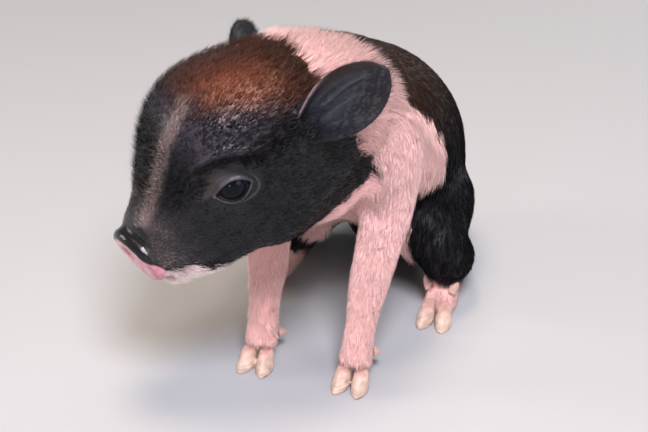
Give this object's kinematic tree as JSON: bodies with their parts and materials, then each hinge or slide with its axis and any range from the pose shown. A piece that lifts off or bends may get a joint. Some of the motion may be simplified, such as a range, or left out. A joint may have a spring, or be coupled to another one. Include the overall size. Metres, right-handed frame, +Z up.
{
  "type": "sitting domestic piglet model",
  "caption": "Life-size newborn domestic piglet sitting upright on the floor with its head turned to its right and lowered.",
  "frame": {"origin": "middle of the bounding box's base, on the floor under the piglet", "axes": "+Z up, -Y the way the chest faces, +X the piglet's left side"},
  "size_m": [0.0986, 0.1742, 0.1318],
  "materials": {
    "black_skin": "black skin under short black hair",
    "pink_skin": "pink skin under short white hair",
    "snout_skin": "moist bare skin",
    "horn": "pale hoof horn",
    "eye": "wet dark eye"
  },
  "bodies": {
    "root": {"claw_foreleg_left_inner": "horn", "claw_foreleg_left_outer": "horn", "claw_foreleg_right_inner": "horn", "claw_foreleg_right_outer": "horn", "claw_hindleg_left_inner": "horn", "claw_hindleg_left_outer": "horn", "claw_hindleg_right_inner": "horn", "claw_hindleg_right_outer": "horn", "dewclaw_foreleg_left_inner": "horn", "dewclaw_foreleg_left_outer": "horn", "dewclaw_foreleg_right_inner": "horn", "dewclaw_foreleg_right_outer": "horn", "dewclaw_hindleg_left_inner": "horn", "dewclaw_hindleg_left_outer": "horn", "dewclaw_hindleg_right_inner": "horn", "dewclaw_hindleg_right_outer": "horn", "ear_left": "black_skin", "ear_right": "black_skin", "eye_left": "eye", "eye_right": "eye", "foreleg_left": "pink_skin", "foreleg_right": "pink_skin", "head": "black_skin", "hindleg_left": "black_skin", "hindleg_right": "black_skin", "neck": "pink_skin", "snout_disc": "snout_skin", "tail": "black_skin", "torso": "black_skin"}
  },
  "joints": []
}
